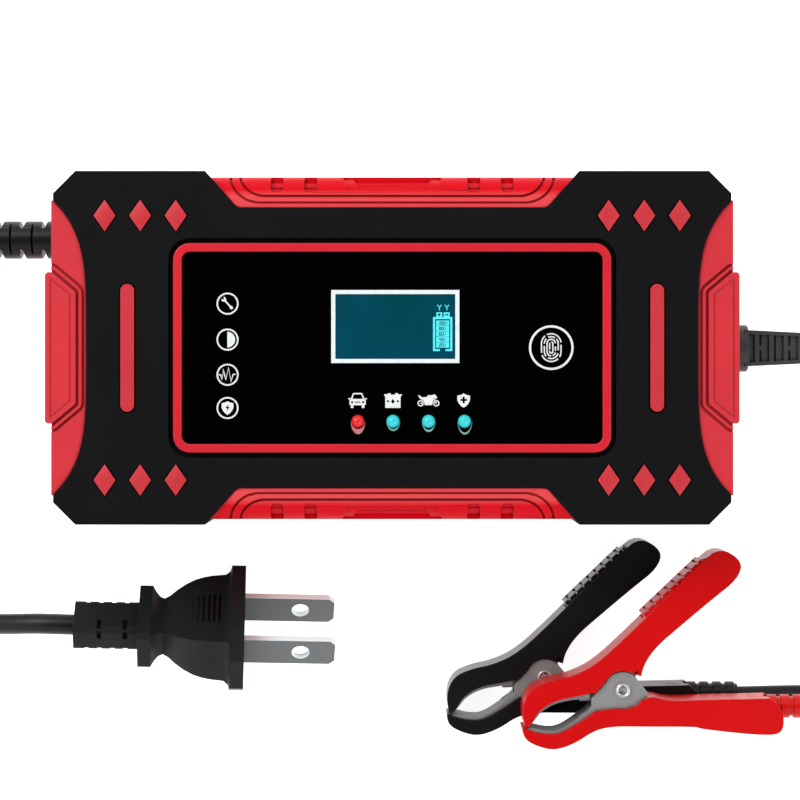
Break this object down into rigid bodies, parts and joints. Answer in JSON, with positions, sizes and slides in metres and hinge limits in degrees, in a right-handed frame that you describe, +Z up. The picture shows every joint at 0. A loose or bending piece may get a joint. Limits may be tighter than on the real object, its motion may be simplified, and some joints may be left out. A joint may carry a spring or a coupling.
{
  "type": "car battery charger",
  "caption": "Flat black charger with red corner guards, a control panel with a small display and lamps, a mains lead with a plug and an output lead with two spring clamps.",
  "frame": {"origin": "on the surface that the charger lies on, under the middle of the housing without its leads", "axes": "+Z up through the control panel, +X along the housing towards the output lead, +Y towards the long edge above the display"},
  "size_m": [0.4004, 0.1516, 0.0475],
  "materials": {
    "shell_black": "fine matte grain",
    "foot_rubber": "matte",
    "steel": "satin",
    "trim_red": "satin",
    "panel_black": "gloss",
    "display_white": "satin",
    "display_glass": "gloss",
    "lamp_red": "gloss",
    "lamp_cyan": "gloss",
    "board_green": "solder mask",
    "ferrite": "matte",
    "tape_yellow": "tape",
    "can_dark": "sleeved can",
    "copper": "enamelled wire",
    "heatsink_aluminium": "extruded",
    "component_black": "matte",
    "fuse_glass": "clear",
    "cord_black": "satin",
    "cord_red": "satin",
    "plug_black": "satin",
    "blade_nickel": "satin nickel",
    "boot_black": "satin",
    "boot_red": "satin"
  },
  "bodies": {
    "charger": {"rear_shell": "shell_black", "front_shell": "shell_black", "feet": "foot_rubber", "case_screws": "steel", "end_bumper_left": "trim_red", "end_bumper_right": "trim_red", "end_block_left": "trim_red", "end_block_right": "trim_red", "grip_strip_top": "trim_red", "grip_strip_bottom": "trim_red", "panel_frame": "trim_red", "front_panel": "panel_black", "diamond_studs": "trim_red", "side_bars": "trim_red", "lcd_bezel": "display_white", "lcd_glass": "display_glass", "lcd_backlight": "display_white", "led_red": "lamp_red", "leds_cyan": "lamp_cyan", "touch_spring": "steel", "display_board": "board_green", "main_board": "board_green", "board_screws": "steel", "transformer_core": "ferrite", "transformer_winding": "tape_yellow", "bulk_capacitor": "can_dark", "output_capacitors": "can_dark", "filter_choke": "copper", "heatsinks": "heatsink_aluminium", "power_transistors": "component_black", "fuse": "fuse_glass", "fan_frame": "shell_black", "mains_strain_relief": "cord_black", "mains_cord_lead": "cord_black", "mains_cord_coil": "cord_black", "mains_cord_tie": "cord_black", "mains_cord_tail": "cord_black", "plug_body": "plug_black", "plug_blades": "blade_nickel", "dc_strain_relief": "cord_black", "dc_cord_lead": "cord_black", "dc_cord_coil": "cord_black", "dc_cord_tie": "cord_black", "dc_cord_tail": "cord_black", "dc_splitter": "shell_black", "black_fixed_boot": "boot_black", "black_fixed_jaw": "steel", "black_rivet": "steel", "black_spring": "steel", "black_lead": "cord_black", "red_fixed_boot": "boot_red", "red_fixed_jaw": "steel", "red_rivet": "steel", "red_spring": "steel", "red_lead": "cord_red"},
    "fan": {"fan_rotor": "shell_black"},
    "black_clamp_lever": {"black_moving_boot": "boot_black", "black_moving_jaw": "steel"},
    "red_clamp_lever": {"red_moving_boot": "boot_red", "red_moving_jaw": "steel"}
  },
  "joints": [
    {"name": "black_clamp_hinge", "type": "hinge", "parent": "charger", "child": "black_clamp_lever", "pos_m": [0.0414, -0.0888, 0.006], "axis": [0, 0, -1], "range_deg": [0, 30], "stiffness_Nm_per_rad": 0.3, "springref_deg": -28.65},
    {"name": "red_clamp_hinge", "type": "hinge", "parent": "charger", "child": "red_clamp_lever", "pos_m": [0.0613, -0.0907, 0.0185], "axis": [0, 0, -1], "range_deg": [0, 30], "stiffness_Nm_per_rad": 0.3, "springref_deg": -28.65},
    {"name": "fan_spin", "type": "hinge", "parent": "charger", "child": "fan", "pos_m": [0.05, 0, 0.009], "axis": [0, 0, 1], "continuous": true}
  ]
}
